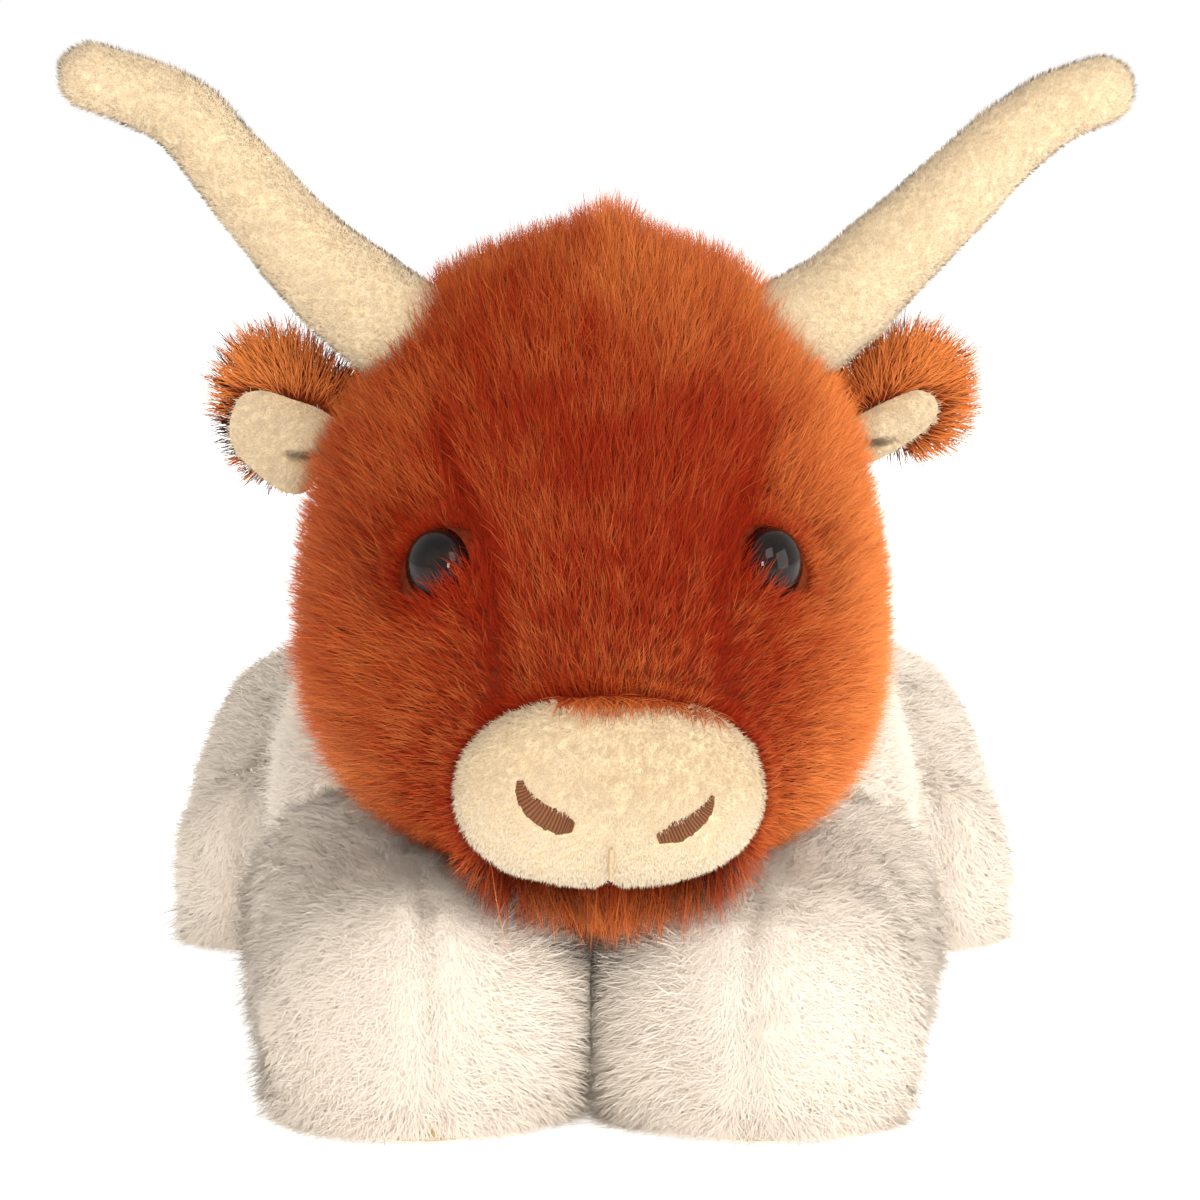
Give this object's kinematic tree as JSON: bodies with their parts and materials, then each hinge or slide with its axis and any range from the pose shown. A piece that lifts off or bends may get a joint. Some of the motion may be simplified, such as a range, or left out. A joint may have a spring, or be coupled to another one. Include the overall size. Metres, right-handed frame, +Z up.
{
  "type": "plush cow",
  "caption": "Stuffed plush longhorn cow lying on its belly, with a turning and nodding head, bending horns, floppy ears, legs that swing outwards and a tail that lifts.",
  "frame": {"origin": "on the floor under the middle of the toy's overall box", "axes": "+Z up; the face looks along -Y; +X is the toy's own left side, which is the right of the picture. left and right in the names are the toy's own."},
  "size_m": [0.2153, 0.3068, 0.2062],
  "materials": {
    "brown_plush": "matte",
    "cream_plush": "matte",
    "cream_minky": "matte",
    "sole_tan": "matte",
    "eye_black": "gloss",
    "washer": "matte",
    "stuffing": "matte",
    "pellet_bag": "matte",
    "brown_thread": "matte"
  },
  "bodies": {
    "torso": {"torso_skin": "cream_plush", "torso_stuffing": "stuffing", "belly_pellet_bag": "pellet_bag"},
    "neck": {"neck_skin": "brown_plush", "neck_stuffing": "stuffing"},
    "head": {"head_skin": "brown_plush", "head_stuffing": "stuffing", "muzzle_skin": "cream_minky", "muzzle_stuffing": "stuffing", "mouth_stitch": "brown_thread", "nostril_left": "brown_thread", "nostril_right": "brown_thread", "eye_left": "eye_black", "eye_right": "eye_black", "eye_washer_left": "washer", "eye_washer_right": "washer"},
    "horn_left": {"horn_skin_left": "cream_minky", "horn_stuffing_left": "stuffing"},
    "horn_right": {"horn_skin_right": "cream_minky", "horn_stuffing_right": "stuffing"},
    "ear_left": {"ear_outer_left": "brown_plush", "ear_lining_left": "cream_minky"},
    "ear_right": {"ear_outer_right": "brown_plush", "ear_lining_right": "cream_minky"},
    "foreleg_left": {"foreleg_skin_left": "cream_plush", "foreleg_stuffing_left": "stuffing", "foreleg_sole_left": "sole_tan", "foreleg_pellet_bag_left": "pellet_bag"},
    "foreleg_right": {"foreleg_skin_right": "cream_plush", "foreleg_stuffing_right": "stuffing", "foreleg_sole_right": "sole_tan", "foreleg_pellet_bag_right": "pellet_bag"},
    "hindleg_left": {"hindleg_skin_left": "cream_plush", "hindleg_stuffing_left": "stuffing", "hindleg_sole_left": "sole_tan", "hindleg_pellet_bag_left": "pellet_bag"},
    "hindleg_right": {"hindleg_skin_right": "cream_plush", "hindleg_stuffing_right": "stuffing", "hindleg_sole_right": "sole_tan", "hindleg_pellet_bag_right": "pellet_bag"},
    "tail": {"tail_skin": "cream_plush", "tail_tuft": "brown_plush"}
  },
  "joints": [
    {"name": "neck_turn", "type": "hinge", "parent": "torso", "child": "neck", "pos_m": [0, -0.04, 0.067], "axis": [0, 0, 1], "range_deg": [-10, 10], "stiffness_Nm_per_rad": 0.3},
    {"name": "head_nod", "type": "hinge", "parent": "neck", "child": "head", "pos_m": [0, -0.04, 0.067], "axis": [-0.9994, -0.0349, 0], "range_deg": [0, 12]},
    {"name": "horn_flex_left", "type": "hinge", "parent": "head", "child": "horn_left", "pos_m": [0.03755, -0.07071, 0.14578], "axis": [0.0349, -0.9994, 0], "range_deg": [-10, 12], "stiffness_Nm_per_rad": 0.3},
    {"name": "horn_flex_right", "type": "hinge", "parent": "head", "child": "horn_right", "pos_m": [-0.03539, -0.07326, 0.14588], "axis": [-0.0349, 0.9994, 0], "range_deg": [-10, 12], "stiffness_Nm_per_rad": 0.3},
    {"name": "ear_flap_left", "type": "hinge", "parent": "head", "child": "ear_left", "pos_m": [0.0485, -0.05632, 0.1304], "axis": [0.0349, -0.9994, 0], "range_deg": [-15, 5], "stiffness_Nm_per_rad": 0.05},
    {"name": "ear_flap_right", "type": "hinge", "parent": "head", "child": "ear_right", "pos_m": [-0.04722, -0.05966, 0.13039], "axis": [-0.0349, 0.9994, 0], "range_deg": [-15, 5], "stiffness_Nm_per_rad": 0.05},
    {"name": "foreleg_swing_left", "type": "hinge", "parent": "torso", "child": "foreleg_left", "pos_m": [0.043, -0.038, 0], "axis": [0, 0, 1], "range_deg": [0, 25]},
    {"name": "foreleg_swing_right", "type": "hinge", "parent": "torso", "child": "foreleg_right", "pos_m": [-0.043, -0.038, 0], "axis": [0, 0, -1], "range_deg": [0, 25]},
    {"name": "hindleg_swing_left", "type": "hinge", "parent": "torso", "child": "hindleg_left", "pos_m": [0.0575, 0.088, 0], "axis": [0, 0, 1], "range_deg": [0, 20]},
    {"name": "hindleg_swing_right", "type": "hinge", "parent": "torso", "child": "hindleg_right", "pos_m": [-0.0575, 0.088, 0], "axis": [0, 0, -1], "range_deg": [0, 20]},
    {"name": "tail_lift", "type": "hinge", "parent": "torso", "child": "tail", "pos_m": [0, 0.13213, 0.052], "axis": [1, 0, 0], "range_deg": [0, 70]}
  ]
}
